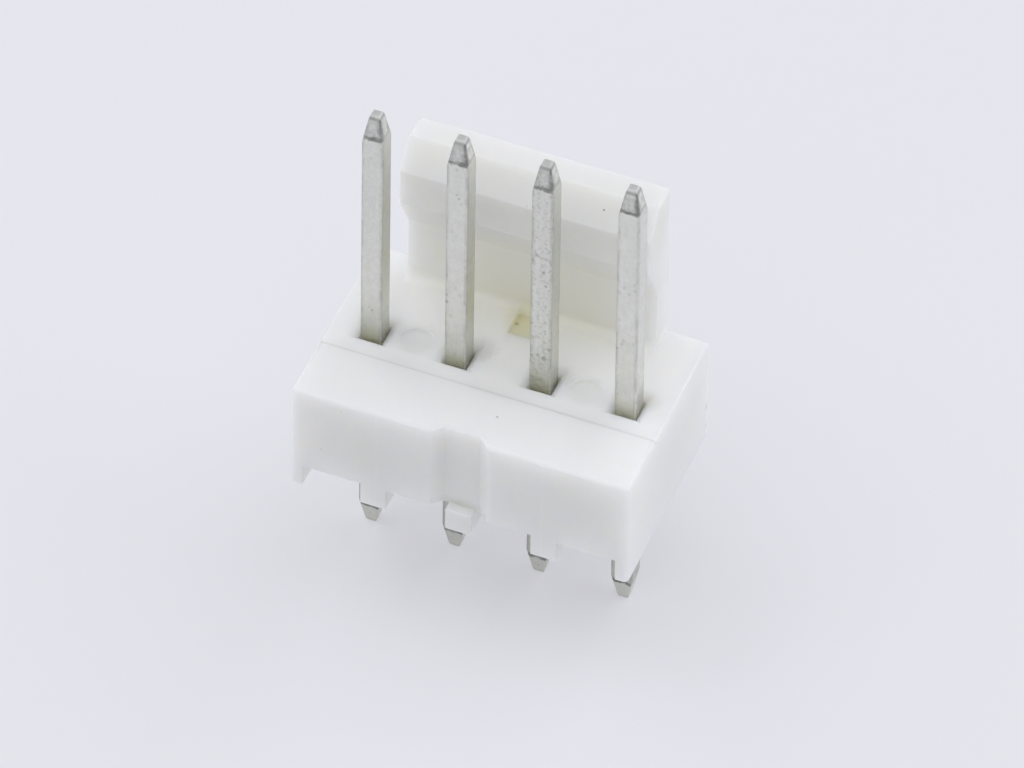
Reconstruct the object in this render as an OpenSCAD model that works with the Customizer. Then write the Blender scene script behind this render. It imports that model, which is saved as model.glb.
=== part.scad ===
// Vertical pin header with a friction lock: a moulded housing carries one row of square posts,
// and a springy hooked wall behind them holds the cable plug. The frame's origin is the middle
// of the row on the circuit board's surface, +Z along the posts and +Y towards the hooked wall.

/* [Row] */
// Number of posts in the row
positions = 4; // [2:1:12]
// Distance from one post to the next
pitch = 2.54; // [2:0.01:5.08]

/* [Posts] */
// Side of the square post
post_side = 0.64; // [0.4:0.01:1]
// Radius of the post's long edges
post_edge_r = 0.05; // [0.02:0.01:0.1]
// Height of the post's end above the top of the base
post_reach = 7.49; // [5:0.01:12]
// Length of the solder tail under the board's surface
tail_length = 3.56; // [2:0.01:6]
// Side of the small flat at each end
tip_side = 0.3; // [0.15:0.01:0.38]
// Length of the tapered end
taper_length = 0.7; // [0.3:0.01:1.2]
// Gap between the post and its hole, on each side
post_clearance = 0.01; // [0.005:0.005:0.05]

/* [Base] */
// How much shorter the base is than the whole row of pitches
end_trim = 0.1; // [0:0.01:0.3]
// From the row to the front face
front_reach = 3.14; // [2.4:0.01:5]
// From the row to the back face
back_reach = 3.11; // [2.9:0.01:5]
// From the board to the top of the base
base_height = 3.18; // [2.6:0.01:5]
// Rise of the front strip over the rest of the top
strip_rise = 0.04; // [0.02:0.01:0.1]
// From the row to the back edge of the front strip
strip_start = 1.11; // [0.8:0.01:1.5]
// Radius of the base's upper and upright edges
edge_r = 0.14; // [0.05:0.01:0.2]

/* [Standoffs] */
// Height of the feet that hold the base off the board
standoff_height = 0.65; // [0.3:0.01:1]
// Width of the rail under each end
rail_width = 0.37; // [0.2:0.01:0.5]
// Width of the rib between two posts
rib_width = 0.76; // [0.4:0.01:0.9]

/* [Front groove] */
// Width of the groove's mouth
groove_mouth = 1.73; // [1.3:0.01:2]
// Width of the groove's floor
groove_floor = 1.04; // [0.6:0.01:1.2]
// Depth of the groove
groove_depth = 0.3; // [0.15:0.01:0.5]
// Radius of the groove's corners
groove_r = 0.05; // [0.02:0.01:0.08]

/* [Sockets] */
// Gap between the post and the straight part of its well, on each side
well_gap = 0.05; // [0.03:0.01:0.15]
// Depth of the well under the top of the base
well_depth = 1; // [0.4:0.05:1.6]
// Width of the sloped rim round the well, on each side
rim_width = 0.23; // [0.08:0.01:0.3]
// Depth of the sloped rim
rim_depth = 0.18; // [0.08:0.01:0.35]
// Width of the gate recess at the foot of the hooked wall
gate_width = 0.72; // [0.4:0.01:1]
// From the row to the front edge of the gate recess
gate_start = 1.26; // [1:0.01:1.6]
// Depth of the gate recess
gate_depth = 0.2; // [0.1:0.05:1]
// Diameter of the ejector marks
ejector_d = 0.95; // [0.6:0.05:1.1]
// Depth of the ejector marks
ejector_depth = 0.04; // [0.02:0.01:0.1]

/* [Friction lock] */
// How much narrower the hooked wall is than the row of posts
lock_trim = 0.11; // [0:0.01:0.4]
// Height of the hooked wall's top above the top of the base
lock_rise = 4.95; // [4.2:0.01:7]
// Thickness of the hooked wall
lock_thickness = 0.85; // [0.6:0.01:1]
// How far the hook stands out from the wall
hook_reach = 0.67; // [0.3:0.01:0.8]
// Drop of the sloped lead-in, from the wall's top to the hook's face
lead_in_drop = 0.74; // [0.4:0.01:1]
// Height of the hook's upright face
hook_face = 1.09; // [0.6:0.01:1.3]
// Height of the slope under the hook
hook_return = 1.14; // [0.8:0.01:1.4]
// Radius of the hook's edges
hook_r = 0.1; // [0.04:0.01:0.14]
// Radius at the foot of the wall
foot_r = 0.3; // [0.1:0.01:0.4]

/* [Hidden] */
$fn = 48;
// Overlap that keeps a cut or a joined piece clear of a shared face
overlap = 0.2;
row_length = (positions - 1) * pitch;
base_length = positions * pitch - end_trim;
base_depth = front_reach + back_reach;
base_top = base_height + strip_rise;
well_side = post_side + 2 * well_gap;
post_top = base_height + post_reach;
lock_width = row_length - lock_trim;
lock_front = back_reach - lock_thickness;
lock_top = base_height + lock_rise;
hook_top = lock_top - lead_in_drop;
hook_bottom = hook_top - hook_face;
// A taper plane runs on past the post's side by this share, so that it cuts cleanly
taper_run_on = 1.3;

// Place of post number i along the row
function post_x(i) = (i - 1) * pitch - row_length / 2;

function unit(v) = v / norm(v);
function neighbour(points, i, step) = points[(i + step + len(points)) % len(points)];
// Directions from corner i to the corners before and after it
function arm(points, i, step) = unit(neighbour(points, i, step) - points[i]);
function half_angle(points, i) = acos(arm(points, i, -1) * arm(points, i, 1)) / 2;
// Where a round of radius r at corner i meets the sides, and its centre
function tangent_run(points, i, r) = r / tan(half_angle(points, i));
function round_centre(points, i, r) =
    points[i] + unit(arm(points, i, -1) + arm(points, i, 1)) * r / sin(half_angle(points, i));
// A corner of an anticlockwise outline that points outwards
function is_outer(points, i) = cross(arm(points, i, 1), arm(points, i, -1)) > 0;
function cut_corner(points, i, r) = r == 0 ? [points[i]] : [
    for (step = [-1, 1]) points[i] + arm(points, i, step) * tangent_run(points, i, r)
];

// An anticlockwise outline with a true arc of its own radius at each corner
module rounded_outline(points, radii) {
    difference() {
        union() {
            polygon([for (i = [0 : len(points) - 1]) each cut_corner(points, i, radii[i])]);
            for (i = [0 : len(points) - 1])
                if (radii[i] > 0 && is_outer(points, i))
                    translate(round_centre(points, i, radii[i])) circle(radii[i]);
        }
        for (i = [0 : len(points) - 1])
            if (radii[i] > 0 && !is_outer(points, i))
                translate(round_centre(points, i, radii[i])) circle(radii[i]);
    }
}

// A profile drawn in Y and Z, extruded along the row to the given width
module along_row(width) {
    translate([-width / 2, 0, 0]) rotate([90, 0, 90]) linear_extrude(width) children();
}

// A profile drawn in X and Z, extruded from front to back of the base with some to spare
module across_row() {
    translate([0, back_reach + overlap, 0]) rotate([90, 0, 0])
        linear_extrude(base_depth + 2 * overlap) children();
}

// The base seen from above, plain or with the groove that keys the plug in its front face
module base_plan(grooved) {
    half = base_length / 2;
    corners = [[half, -front_reach], [half, back_reach], [-half, back_reach], [-half, -front_reach]];
    groove = [
        [-groove_mouth / 2, -front_reach], [-groove_floor / 2, groove_depth - front_reach],
        [groove_floor / 2, groove_depth - front_reach], [groove_mouth / 2, -front_reach]
    ];
    points = grooved ? concat(corners, groove) : corners;
    rounded_outline(points, [for (i = [0 : len(points) - 1]) i < len(corners) ? edge_r : groove_r]);
}

// The base seen from its end, with the front strip a little higher than the rest
module base_side() {
    rounded_outline(
        [
            [-front_reach, 0], [back_reach, 0], [back_reach, base_height],
            [-strip_start, base_height], [-strip_start, base_top], [-front_reach, base_top]
        ],
        [0, 0, edge_r, 0, 0, edge_r]
    );
}

// The base and its feet seen from the front
module base_front() {
    half = base_length / 2;
    difference() {
        rounded_outline(
            [[-half, 0], [half, 0], [half, base_top], [-half, base_top]],
            [0, 0, edge_r, edge_r]
        );
        difference() {
            translate([rail_width - half, -overlap])
                square([base_length - 2 * rail_width, standoff_height + overlap]);
            for (i = [1 : positions - 1])
                translate([post_x(i) + (pitch - rib_width) / 2, -2 * overlap])
                    square([rib_width, standoff_height + 3 * overlap]);
        }
    }
}

// The groove ends at the base's underside, so the feet keep the full depth
module base_block() {
    intersection() {
        union() {
            linear_extrude(base_top) base_plan(true);
            linear_extrude(standoff_height) base_plan(false);
        }
        along_row(base_length + overlap) base_side();
        across_row() base_front();
    }
}

// The hooked wall seen from its end, down to a root inside the base
module lock_side() {
    root = base_height - edge_r - overlap;
    toe = lock_front - foot_r - overlap;
    rounded_outline(
        [
            [toe, root], [back_reach, root], [back_reach, lock_top], [lock_front, lock_top],
            [lock_front - hook_reach, hook_top], [lock_front - hook_reach, hook_bottom],
            [lock_front, hook_bottom - hook_return], [lock_front, base_height], [toe, base_height]
        ],
        [0, 0, hook_r, hook_r / 2, hook_r, hook_r, hook_r, foot_r, 0]
    );
}

module lock_wall() {
    half = lock_width / 2;
    intersection() {
        along_row(lock_width) lock_side();
        across_row() rounded_outline(
            [[-half, 0], [half, 0], [half, lock_top], [-half, lock_top]],
            [0, 0, hook_r, hook_r]
        );
    }
}

// A square hole centred on the Z axis, from one height to another
module square_hole(side, from, to) {
    translate([0, 0, from]) linear_extrude(to - from) square(side, center = true);
}

// The sloped rim of a well seen from one side
module rim_side() {
    foot = well_side / 2;
    mouth = foot + rim_width;
    polygon([
        [-foot, base_height - rim_depth], [foot, base_height - rim_depth], [mouth, base_height],
        [mouth, base_height + overlap], [-mouth, base_height + overlap], [-mouth, base_height]
    ]);
}

// The square well round a post: a straight part under a rim that slopes on all four sides
module well() {
    square_hole(well_side, base_height - well_depth, base_top + overlap);
    intersection_for(turn = [0, 90]) rotate([90, 0, turn])
        linear_extrude(2 * (well_side + rim_width), center = true) rim_side();
}

module housing() color("ivory") difference() {
    union() {
        base_block();
        lock_wall();
    }
    for (i = [1 : positions]) translate([post_x(i), 0, 0]) {
        square_hole(post_side + 2 * post_clearance, -overlap, base_top);
        well();
    }
    // The gate recess runs back to the wall's own front
    translate([-gate_width / 2, gate_start, base_height - gate_depth])
        cube([gate_width, lock_front - gate_start, gate_depth + foot_r]);
    // One ejector mark between the first two posts and one between the last two
    for (side = [-1, 1])
        translate([side * (row_length - pitch) / 2, 0, base_height - ejector_depth])
            cylinder(d = ejector_d, h = ejector_depth + overlap);
}

// The post's outline from one side: a straight bar with both ends tapered to a flat
module taper_side() {
    tip = tip_side / 2;
    wide = tip + taper_run_on * (post_side / 2 - tip);
    run = taper_run_on * taper_length;
    polygon([
        [-tip, -tail_length], [tip, -tail_length], [wide, run - tail_length],
        [wide, post_top - run], [tip, post_top], [-tip, post_top],
        [-wide, post_top - run], [-wide, run - tail_length]
    ]);
}

module post(i) color("silver") translate([post_x(i), 0, 0]) intersection() {
    half = post_side / 2;
    translate([0, 0, -tail_length]) linear_extrude(tail_length + post_top) rounded_outline(
        [[-half, -half], [half, -half], [half, half], [-half, half]],
        [post_edge_r, post_edge_r, post_edge_r, post_edge_r]
    );
    intersection_for(turn = [0, 90]) rotate([90, 0, turn])
        linear_extrude(2 * post_side, center = true) taper_side();
}

housing();
for (i = [1 : positions]) post(i);
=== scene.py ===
"""Dresses a four way board pin header, with its hooked friction lock wall, for a studio picture."""
import logging
import math
from dataclasses import dataclass
from enum import Enum

import bmesh
import bpy
from mathutils import Matrix, Vector


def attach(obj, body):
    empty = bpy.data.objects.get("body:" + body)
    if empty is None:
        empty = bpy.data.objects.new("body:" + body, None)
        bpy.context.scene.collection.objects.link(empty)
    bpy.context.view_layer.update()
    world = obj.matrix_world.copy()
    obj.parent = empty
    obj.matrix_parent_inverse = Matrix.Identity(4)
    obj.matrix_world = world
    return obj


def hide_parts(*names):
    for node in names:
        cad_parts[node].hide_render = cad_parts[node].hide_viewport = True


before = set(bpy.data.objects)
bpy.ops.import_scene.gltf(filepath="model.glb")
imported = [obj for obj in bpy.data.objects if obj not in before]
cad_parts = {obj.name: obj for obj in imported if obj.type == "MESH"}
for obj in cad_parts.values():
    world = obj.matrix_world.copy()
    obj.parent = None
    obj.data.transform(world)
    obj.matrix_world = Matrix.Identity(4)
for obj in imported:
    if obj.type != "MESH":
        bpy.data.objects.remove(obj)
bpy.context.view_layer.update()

LOG = logging.getLogger("pin_header")
MM = 0.001
PER_MM = 1000.0
BODY = "root"
LOCAL_PLACE = "post_local"
POST_WEAR = "post_wear"

Colour = tuple[float, float, float]
Point = tuple[float, float, float]
Socket = bpy.types.NodeSocket
# Where a soft step starts and ends, or the two ends of a range
Span = tuple[float, float]
# Where a number starts to grow, how fast it grows, and its limit
Growth = tuple[float, float, float]

# Colour of all the light in the studio
COOL_WHITE: Colour = (0.945, 0.95, 1.0)
# Above 50, large faces count for more than small ones in the shading
FACE_WEIGHT = 90


class Slot(Enum):
    """The record's material slots."""

    NYLON = "white_nylon"
    TIN = "tinned_post"


class Effect(Enum):
    """Surface effects that more than one finish uses."""

    CLOUD = "cloud"
    SPECKS = "specks"
    SPOT = "spot"


@dataclass(frozen=True)
class SpotOrShade:
    """One small mark, or soft patch of painted shade, at a known place on a surface, in millimetres."""

    centre: Point
    radius: float
    strength: float
    ragged: float = 0.8


class Sheet:
    """Places and links the nodes of one tree."""

    def __init__(self, tree: bpy.types.NodeTree) -> None:
        """Keep the tree that the nodes go into."""
        self.tree = tree

    def feed(self, socket: Socket, value: object) -> None:
        """Link an input to another socket, or set its constant.

        Args:
            socket: The input.
            value: A socket to link from, or a constant.
        """
        if isinstance(value, Socket):
            self.tree.links.new(value, socket)
        else:
            socket.default_value = value

    def put(self, kind: str, values: dict | None = None, **settings: object) -> bpy.types.Node:
        """Add one node.

        Args:
            kind: Blender's name of the node type.
            values: What each input takes, by its place or name.
            settings: Properties of the node itself.

        Returns:
            The new node.
        """
        node = self.tree.nodes.new(kind)
        for name, value in settings.items():
            setattr(node, name, value)
        for key, value in (values or {}).items():
            self.feed(node.inputs[key], value)
        return node

    def math(self, operation: str, *terms: object) -> Socket:
        """Return the result of one sum on numbers."""
        return self.put("ShaderNodeMath", dict(enumerate(terms)), operation=operation).outputs[0]

    def vector(self, operation: str, *terms: object) -> Socket:
        """Return the result of one sum on vectors."""
        node = self.put("ShaderNodeVectorMath", dict(enumerate(terms)), operation=operation)
        gives_number = operation in ("LENGTH", "DISTANCE", "DOT_PRODUCT")
        return node.outputs["Value" if gives_number else "Vector"]

    def largest(self, *terms: object) -> Socket:
        """Return the largest of several numbers."""
        result = terms[0]
        for term in terms[1:]:
            result = self.math("MAXIMUM", result, term)
        return result

    def times(self, *terms: object) -> Socket:
        """Return the product of several numbers."""
        result = terms[-1]
        for term in reversed(terms[:-1]):
            result = self.math("MULTIPLY", term, result)
        return result

    def distance(self, value: object, centre: float) -> Socket:
        """Return how far a number is from a centre."""
        return self.math("ABSOLUTE", self.math("SUBTRACT", value, centre))

    def between(self, mask: object, low: float, high: float) -> Socket:
        """Return a number that is low where a mask is 0 and high where it is 1."""
        return self.math("MULTIPLY_ADD", mask, high - low, low)

    def growth(self, value: object, start: float, rate: float, most: float) -> Socket:
        """Return a number that grows with a value.

        Args:
            value: What the number follows.
            start: The value at which the number is 0; it is below 0 before that.
            rate: How fast it grows.
            most: Its limit.

        Returns:
            The number.
        """
        return self.math("MINIMUM", self.math("MULTIPLY_ADD", value, rate, -rate * start), most)

    def ramp(self, value: object, start: float, end: float) -> Socket:
        """Return a soft step that goes from 0 at start to 1 at end.

        Args:
            value: What the step follows.
            start: Where it is still 0; it may lie above end, and the step then falls.
            end: Where it has reached 1.

        Returns:
            The step, from 0 to 1.
        """
        if start < end:
            values = {0: value, 1: start, 2: end, 3: 0.0, 4: 1.0}
        else:
            values = {0: value, 1: end, 2: start, 3: 1.0, 4: 0.0}
        return self.put("ShaderNodeMapRange", values, interpolation_type="SMOOTHSTEP").outputs[0]

    def mix(self, factor: object, first: object, second: object) -> Socket:
        """Return a blend of two colours.

        Args:
            factor: 0 for the first colour, 1 for the second.
            first: A socket or a colour.
            second: A socket or a colour.

        Returns:
            The blended colour.
        """
        ends = [(*c, 1.0) if isinstance(c, tuple) else c for c in (first, second)]
        return self.put("ShaderNodeMix", {0: factor, 6: ends[0], 7: ends[1]}, data_type="RGBA").outputs[2]

    def tint(self, first: object, mask: object, share: object, second: Colour) -> Socket:
        """Return a colour with a share of another laid on by a mask.

        Args:
            first: A socket or a colour.
            mask: Where the other colour goes, from 0 to 1.
            share: How much of it is laid on.
            second: The other colour.

        Returns:
            The blended colour.
        """
        return self.mix(self.math("MULTIPLY", mask, share), first, second)

    def noise(self, vector: object, scale: float, detail: float = 2.0) -> Socket:
        """Return plain noise about 0.5 along a vector."""
        return self.put("ShaderNodeTexNoise", {"Vector": vector, "Scale": scale, "Detail": detail}).outputs[0]


class EffectShelf:
    """Builds each shared effect once and hands it out as a node group."""

    cloud_span: Span = (0.3, 0.7)
    speck_span: Span = (1.0, 0.4)
    least_speck: float = 0.5
    spot_span: Span = (1.0, 0.45)
    rim_scale: float = 14.0

    def __init__(self) -> None:
        """Start with no groups."""
        self.groups: dict[Effect, bpy.types.NodeTree] = {}

    def start(
        self, effect: Effect, vectors: tuple[str, ...], numbers: tuple[str, ...]
    ) -> tuple[Sheet, bpy.types.Node, bpy.types.Node]:
        """Open a new group with named sockets.

        Args:
            effect: Which effect the group is for.
            vectors: Names of the inputs that take vectors.
            numbers: Names of the inputs that take numbers.

        Returns:
            The group's sheet, its input node and its output node.
        """
        tree = bpy.data.node_groups.new(effect.value, "ShaderNodeTree")
        for kind, names in (("NodeSocketVector", vectors), ("NodeSocketFloat", numbers)):
            for name in names:
                tree.interface.new_socket(name, in_out="INPUT", socket_type=kind)
        tree.interface.new_socket("Mask", in_out="OUTPUT", socket_type="NodeSocketFloat")
        self.groups[effect] = tree
        sheet = Sheet(tree)
        return sheet, sheet.put("NodeGroupInput"), sheet.put("NodeGroupOutput")

    def build_cloud(self) -> None:
        """Make soft cloudiness: noise with its middle range spread from 0 to 1."""
        sheet, given, out = self.start(Effect.CLOUD, ("Vector",), ("Scale", "Detail"))
        noise = sheet.put("ShaderNodeTexNoise", {k: given.outputs[k] for k in ("Vector", "Scale", "Detail")})
        sheet.feed(out.inputs["Mask"], sheet.ramp(noise.outputs[0], *self.cloud_span))

    def build_specks(self) -> None:
        """Make scattered specks: small spots in a share of the cells of a cell pattern."""
        sheet, given, out = self.start(Effect.SPECKS, ("Vector",), ("Scale", "Size", "Share"))
        cells = sheet.put("ShaderNodeTexVoronoi", {k: given.outputs[k] for k in ("Vector", "Scale")})
        lot = sheet.put("ShaderNodeSeparateXYZ", {0: cells.outputs["Color"]}).outputs
        chosen = sheet.math("LESS_THAN", lot[0], given.outputs["Share"])
        # Each speck has its own size, from half of the given one upwards
        own_size = sheet.times(given.outputs["Size"], sheet.math("ADD", lot[1], self.least_speck))
        reach = sheet.math("DIVIDE", cells.outputs["Distance"], own_size)
        sheet.feed(out.inputs["Mask"], sheet.times(chosen, sheet.ramp(reach, *self.speck_span)))

    def build_spot(self) -> None:
        """Make one spot with a ragged rim about a stated centre."""
        sheet, given, out = self.start(Effect.SPOT, ("Vector", "Centre"), ("Radius", "Ragged"))
        distance = sheet.vector("DISTANCE", given.outputs["Vector"], given.outputs["Centre"])
        reach = sheet.math("DIVIDE", distance, given.outputs["Radius"])
        rim = sheet.math("SUBTRACT", sheet.noise(given.outputs["Vector"], self.rim_scale), 0.5)
        ragged = sheet.math("MULTIPLY_ADD", rim, given.outputs["Ragged"], reach)
        sheet.feed(out.inputs["Mask"], sheet.ramp(ragged, *self.spot_span))

    def take(self, sheet: Sheet, effect: Effect, **values: object) -> Socket:
        """Place an effect in a material.

        Args:
            sheet: The material's sheet.
            effect: Which effect.
            values: What its named inputs take.

        Returns:
            The effect's mask, from 0 to 1.
        """
        if effect not in self.groups:
            getattr(self, f"build_{effect.value}")()
        return sheet.put("ShaderNodeGroup", values, node_tree=self.groups[effect]).outputs["Mask"]

    def marked(
        self, sheet: Sheet, place: Socket, colour: Socket, marks: tuple[SpotOrShade, ...], spot_colour: Colour
    ) -> Socket:
        """Lay small marks and patches of painted shade over a colour.

        Args:
            sheet: The material's sheet.
            place: The piece's coordinates in millimetres.
            colour: The colour under the marks.
            marks: The marks.
            spot_colour: Their own colour.

        Returns:
            The colour with its marks.
        """
        for mark in marks:
            sizes = {"Centre": mark.centre, "Radius": mark.radius, "Ragged": mark.ragged}
            spot = self.take(sheet, Effect.SPOT, Vector=place, **sizes)
            colour = sheet.tint(colour, spot, mark.strength, spot_colour)
        return colour


def new_material(name: str) -> tuple[bpy.types.Material, Sheet, bpy.types.Node]:
    """Open an empty material.

    Args:
        name: The material's name.

    Returns:
        The material, its sheet and its output node.
    """
    material = bpy.data.materials.new(name)
    material.use_nodes = True
    material.node_tree.nodes.clear()
    sheet = Sheet(material.node_tree)
    return material, sheet, sheet.put("ShaderNodeOutputMaterial")


def place_in_mm(sheet: Sheet) -> Socket:
    """Return the piece's own coordinates in millimetres."""
    place = sheet.put("ShaderNodeTexCoord").outputs["Object"]
    return sheet.vector("MULTIPLY", place, (PER_MM, PER_MM, PER_MM))


def seen_directly(sheet: Sheet) -> Socket:
    """Return 1 for rays that show a thing as it is, and 0 for those that only light others."""
    rays = sheet.put("ShaderNodeLightPath").outputs
    return sheet.largest(rays["Is Camera Ray"], rays["Is Glossy Ray"], rays["Is Transmission Ray"])


@dataclass(frozen=True)
class WhiteNylon:
    """Finish of the moulded housing: milky white nylon, a little cloudy, with painted amber light at its gate
    and painted light and shade.

    Places and widths are in millimetres. A span says where a soft step starts and ends, and a share says how
    much of a colour is laid on.
    """

    base: Colour = (0.815, 0.818, 0.805)
    cloudy: Colour = (0.79, 0.795, 0.775)
    foot_shade: Colour = (0.775, 0.775, 0.715)
    thin: Colour = (0.735, 0.738, 0.715)
    amber: Colour = (0.80, 0.775, 0.54)
    pale: Colour = (0.92, 0.92, 0.89)
    speck: Colour = (0.22, 0.21, 0.18)
    painted_shade: Colour = (0.42, 0.42, 0.36)
    line_light: Colour = (0.86, 0.86, 0.86)
    painted_line_shade: Colour = (0.45, 0.45, 0.44)
    cloud_share: float = 0.6
    top_share: float = 0.5
    rib_share: float = 0.7
    thin_share: float = 0.8
    amber_shares: Span = (0.3, 0.8)
    well_share: float = 0.27
    ledge_share: float = 0.22
    seam_share: float = 0.2
    step_share: float = 0.25
    ejector_share: float = 0.15
    dust_share: float = 0.25
    cloud_scale: float = 0.55
    sink_scale: float = 0.9
    sink_weight: float = 3.0
    grain_scale: float = 22.0
    dust_scale: float = 1.7
    roughness: Span = (0.45, 0.55)
    depth: float = 1.5
    slack: float = 0.02
    pitch: float = 2.54
    front_y: float = -3.1
    groove_y: float = -2.7
    top_z: float = 3.1
    top_fade: float = 0.6
    top_low_span: Span = (2.95, 3.1)
    top_high_span: Span = (3.5, 3.25)
    off_ends_span: Span = (5.0, 4.5)
    foot_y: float = 2.1
    foot_z: float = 3.3
    foot_span: Span = (3.8, 0.3)
    mid_row_span: Span = (4.2, 1.0)
    thin_span: Span = (5.8, 7.6)
    gate_place: Point = (0.0, 1.9, 3.0)
    gate_span: Span = (0.868, 0.186)
    wall_span: Span = (2.3, 2.1)
    seam_x: float = 2.47
    seam_span: Span = (0.05, 0.02)
    step_y: float = -1.10
    step_span: Span = (0.08, 0.02)
    ejector_x: float = 2.54
    ejector_radius: float = 0.475
    rim_inset: float = 0.08
    rim_span: Span = (0.26, 0.0)
    rim_back: Point = (-0.4, 0.9, 0.0)
    rim_back_span: Span = (0.05, 0.4)
    inside_span: Span = (0.2, -0.3)
    inside_share: float = 0.6
    well_z: float = 2.0
    shadow_place: Point = (0.45, 0.25, 0.0)
    shadow_span: Span = (0.52, 0.05)
    ledge_z: float = 0.65
    ledge_half: float = 0.9
    ledge_span: Span = (0.3, 0.03)
    rib_half: float = 0.38
    rib_side_span: Span = (0.07, 0.03)
    rib_inset: float = 0.06
    rib_front_fade: float = 0.25
    rib_front_share: float = 0.5
    marks: tuple[SpotOrShade, ...] = (
        SpotOrShade((0.647, -1.934, 3.22), 0.045, 0.45),
        SpotOrShade((2.233, 1.936, 7.775), 0.04, 0.7),
        SpotOrShade((-0.28, 1.87, 2.98), 0.075, 0.4),
        # Painted shadow of the second post, on the top at its back right
        SpotOrShade((-0.75, 0.35, 3.15), 0.6, 0.12),
        # Painted shade in the hollow of the left ejector mark
        SpotOrShade((-2.5, 0.15, 3.15), 0.75, 0.05),
        SpotOrShade((5.03, 3.0, 1.0), 0.16, 0.3),
        SpotOrShade((5.03, 3.0, 0.35), 0.13, 0.25),
    )

    def material(self, shelf: EffectShelf) -> bpy.types.Material:
        """Make the finish.

        Args:
            shelf: The shared effects.

        Returns:
            The material.
        """
        material, sheet, out = new_material("white_nylon")
        place = place_in_mm(sheet)
        axis = sheet.put("ShaderNodeSeparateXYZ", {0: place}).outputs
        cloud = shelf.take(sheet, Effect.CLOUD, Vector=place, Scale=self.cloud_scale, Detail=4.0)
        colour = sheet.tint(self.base, cloud, self.cloud_share, self.cloudy)
        # Painted shade: the base is darker and warmer towards the corner at the wall's foot, in the middle of
        # the row
        foot_line = sheet.put("ShaderNodeCombineXYZ", {0: axis[0], 1: self.foot_y, 2: self.foot_z}).outputs[0]
        near_foot = sheet.ramp(sheet.vector("DISTANCE", place, foot_line), *self.foot_span)
        mid_row = sheet.ramp(sheet.math("ABSOLUTE", axis[0]), *self.mid_row_span)
        colour = sheet.tint(colour, near_foot, mid_row, self.foot_shade)
        # Painted light: the base's top and the ribs' sides are paler, as light from the plastic round them
        # would fill them
        colour = sheet.tint(colour, self.base_top(sheet, axis), self.top_share, self.pale)
        colour = sheet.tint(colour, self.rib_sides(sheet, axis), self.rib_share, self.pale)
        # Painted shade: the hook's thin upper part is greyer, where light passes through it
        colour = sheet.tint(colour, sheet.ramp(axis[2], *self.thin_span), self.thin_share, self.thin)
        # Painted light: the gate recess is tinted amber, as light through the thin wall behind it would tint
        # it
        near_gate = sheet.ramp(sheet.vector("DISTANCE", place, self.gate_place), *self.gate_span)
        before_wall = sheet.between(sheet.ramp(axis[1], *self.wall_span), *self.amber_shares)
        colour = sheet.tint(colour, near_gate, before_wall, self.amber)
        # Painted shadow of each post at the back right of its well
        colour = sheet.tint(colour, self.well_shadows(sheet, axis), self.well_share, self.painted_shade)
        # Painted shade in the corner at the front groove's foot
        colour = sheet.tint(colour, self.ledge_shade(sheet, axis), self.ledge_share, self.painted_shade)
        colour = sheet.tint(colour, self.seams(sheet, axis), self.seam_share, self.line_light)
        # Painted shade along the front strip's low step and in the hollows of the ejector marks
        colour = sheet.tint(colour, self.step_shade_line(sheet, axis), self.step_share, self.painted_line_shade)
        colour = sheet.tint(colour, self.ejector_rims(sheet, axis), self.ejector_share, self.painted_line_shade)
        # Specks, and two soft patches of painted shade on the top
        colour = shelf.marked(sheet, place, colour, self.marks, self.speck)
        dust = shelf.take(sheet, Effect.SPECKS, Vector=place, Scale=self.dust_scale, Size=0.05, Share=0.10)
        colour = sheet.tint(colour, dust, self.dust_share, self.speck)
        grain = sheet.noise(place, self.grain_scale, 3.0)
        sink = shelf.take(sheet, Effect.CLOUD, Vector=place, Scale=self.sink_scale, Detail=1.0)
        relief = sheet.math("MULTIPLY_ADD", sink, self.sink_weight, grain)
        bump = sheet.put("ShaderNodeBump", {"Strength": 0.12, "Distance": 0.02 * MM, "Height": relief})
        shader = sheet.put(
            "ShaderNodeBsdfPrincipled",
            {
                "Base Color": colour,
                "Roughness": sheet.between(cloud, *self.roughness),
                "IOR": 1.53,
                "Specular IOR Level": 0.3,
                "Subsurface Weight": 1.0,
                "Subsurface Radius": (1.0, 0.95, 0.8),
                "Subsurface Scale": self.depth * MM,
                "Normal": bump.outputs[0],
            },
        )
        sheet.feed(out.inputs[0], shader.outputs[0])
        return material

    def base_top(self, sheet: Sheet, axis: list) -> Socket:
        """Return the mask of the base's top behind the front strip.

        Args:
            sheet: The material's sheet.
            axis: The piece's coordinates in millimetres.

        Returns:
            The mask, from 0 to 1.
        """
        behind_step = sheet.ramp(axis[1], self.step_y, self.step_y + self.top_fade)
        above = sheet.ramp(axis[2], *self.top_low_span)
        below = sheet.ramp(axis[2], *self.top_high_span)
        off_ends = sheet.ramp(sheet.math("ABSOLUTE", axis[0]), *self.off_ends_span)
        return sheet.times(behind_step, above, below, off_ends)

    def rib_sides(self, sheet: Sheet, axis: list) -> Socket:
        """Return the mask of the sides of the standoff ribs.

        Args:
            sheet: The material's sheet.
            axis: The piece's coordinates in millimetres.

        Returns:
            The mask, from 0 to 1.
        """
        across = sheet.math("WRAP", axis[0], self.pitch / 2, -self.pitch / 2)
        off = sheet.distance(sheet.math("ABSOLUTE", across), self.rib_half)
        side = sheet.ramp(off, *self.rib_side_span)
        under_base = sheet.math("LESS_THAN", axis[2], self.ledge_z)
        behind_front = sheet.math("GREATER_THAN", axis[1], self.front_y + self.rib_inset)
        return sheet.times(side, under_base, behind_front)

    def step_shade_line(self, sheet: Sheet, axis: list) -> Socket:
        """Return the mask of the thin line of painted shade behind the front strip's low step."""
        line = sheet.ramp(sheet.distance(axis[1], self.step_y), *self.step_span)
        return sheet.times(line, sheet.math("GREATER_THAN", axis[2], self.top_z))

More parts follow.
